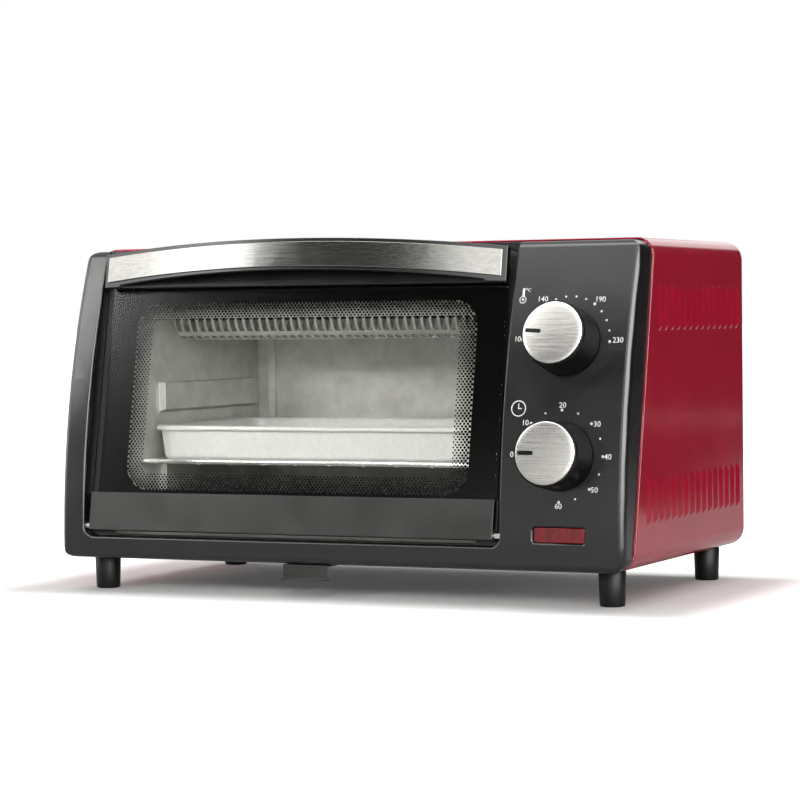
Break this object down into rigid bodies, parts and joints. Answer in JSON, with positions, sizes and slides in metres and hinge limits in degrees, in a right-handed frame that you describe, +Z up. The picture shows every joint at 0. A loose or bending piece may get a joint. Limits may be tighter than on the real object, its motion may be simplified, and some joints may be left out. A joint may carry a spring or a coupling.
{
  "type": "electric oven",
  "caption": "Small counter-top electric oven: red steel cabinet, curved black front, drop-down glass door with arched handle, timer and thermostat dials, crumb tray and short feet.",
  "frame": {"origin": "centre of the bounding box's footprint, on the surface the feet stand on", "axes": "+X to the right seen from the front, +Y to the back, +Z up; the door and dials face -Y"},
  "size_m": [0.3628, 0.2252, 0.2074],
  "materials": {
    "red_enamel": "gloss enamel on sheet steel",
    "black_moulding": "satin",
    "black_metal": "satin heat-resistant paint",
    "black_rubber": "matte",
    "coated_steel": "aluminium-coated sheet, dull and mottled",
    "plain_steel": "fine brushed",
    "chrome_wire": "bright plated",
    "tray_steel": "pale enamel, satin",
    "clear_glass": "clear, with a black dotted border print",
    "red_lens": "clear tinted",
    "white_ceramic": "unglazed",
    "dark_element": "heat-darkened sheath",
    "cable_sleeve": "woven sleeve look"
  },
  "bodies": {
    "body": {"front_frame": "black_moulding", "cabinet": "red_enamel", "base_plate": "coated_steel", "rear_panel": "coated_steel", "rear_screw_1": "plain_steel", "rear_screw_2": "plain_steel", "rear_screw_3": "plain_steel", "rear_screw_4": "plain_steel", "rear_screw_5": "plain_steel", "rear_screw_6": "plain_steel", "cord_gland": "black_rubber", "foot_front_left": "black_rubber", "foot_front_right": "black_rubber", "foot_rear_left": "black_rubber", "foot_rear_right": "black_rubber", "cavity_shell": "coated_steel", "cavity_back": "coated_steel", "face_plate": "black_metal", "heat_shield": "coated_steel", "element_guard": "coated_steel", "upper_heating_element": "dark_element", "lower_heating_element": "dark_element", "upper_left_bush": "white_ceramic", "upper_right_bush": "white_ceramic", "lower_left_bush": "white_ceramic", "lower_right_bush": "white_ceramic", "tray_runner_left": "coated_steel", "tray_runner_right": "coated_steel", "hinge_bracket_left": "coated_steel", "hinge_bracket_right": "coated_steel", "thermostat_body": "white_ceramic", "timer_body": "coated_steel", "timer_bell": "plain_steel", "indicator_lens": "red_lens", "indicator_lamp": "white_ceramic", "terminal_block": "white_ceramic", "timer_wire": "cable_sleeve", "thermostat_wire": "cable_sleeve", "upper_element_wire": "cable_sleeve", "lower_element_wire": "cable_sleeve", "element_link_wire": "cable_sleeve"},
    "door": {"door_glass": "clear_glass", "door_rail": "black_metal", "door_handle": "black_moulding", "handle_inlay": "plain_steel", "hinge_pin_left": "plain_steel", "hinge_pin_right": "plain_steel", "handle_screw_left": "plain_steel", "handle_screw_right": "plain_steel"},
    "rack": {"wire_rack": "chrome_wire"},
    "tray": {"baking_tray": "tray_steel"},
    "crumbs": {"crumb_tray": "black_metal"},
    "thermostat_dial": {"thermostat_knob": "black_moulding", "thermostat_knob_cap": "plain_steel", "thermostat_shaft": "plain_steel"},
    "timer_dial": {"timer_knob": "black_moulding", "timer_knob_cap": "plain_steel", "timer_shaft": "plain_steel"}
  },
  "joints": [
    {"name": "door_hinge", "type": "hinge", "parent": "body", "child": "door", "pos_m": [-0.02975, -0.08785, 0.039], "axis": [1, 0, 0], "range_deg": [0, 100]},
    {"name": "rack_slide", "type": "slide", "parent": "body", "child": "rack", "axis": [0, -1, 0], "range_m": [0, 0.1]},
    {"name": "tray_lift", "type": "slide", "parent": "rack", "child": "tray", "axis": [0, 0, 1], "range_m": [0, 0.02]},
    {"name": "crumb_tray_slide", "type": "slide", "parent": "body", "child": "crumbs", "axis": [0, -1, 0], "range_m": [0, 0.11]},
    {"name": "thermostat_turn", "type": "hinge", "parent": "body", "child": "thermostat_dial", "pos_m": [0.1404, -0.07581, 0.1464], "axis": [0, 0.9673, -0.2538], "range_deg": [0, 180]},
    {"name": "timer_turn", "type": "hinge", "parent": "body", "child": "timer_dial", "pos_m": [0.1404, -0.08792, 0.0839], "axis": [0, 0.9923, -0.1241], "range_deg": [0, 270]}
  ],
  "couplings": [
    {"joint": "rack_slide", "follows": "door_hinge", "m_per_rad": 0.055}
  ]
}
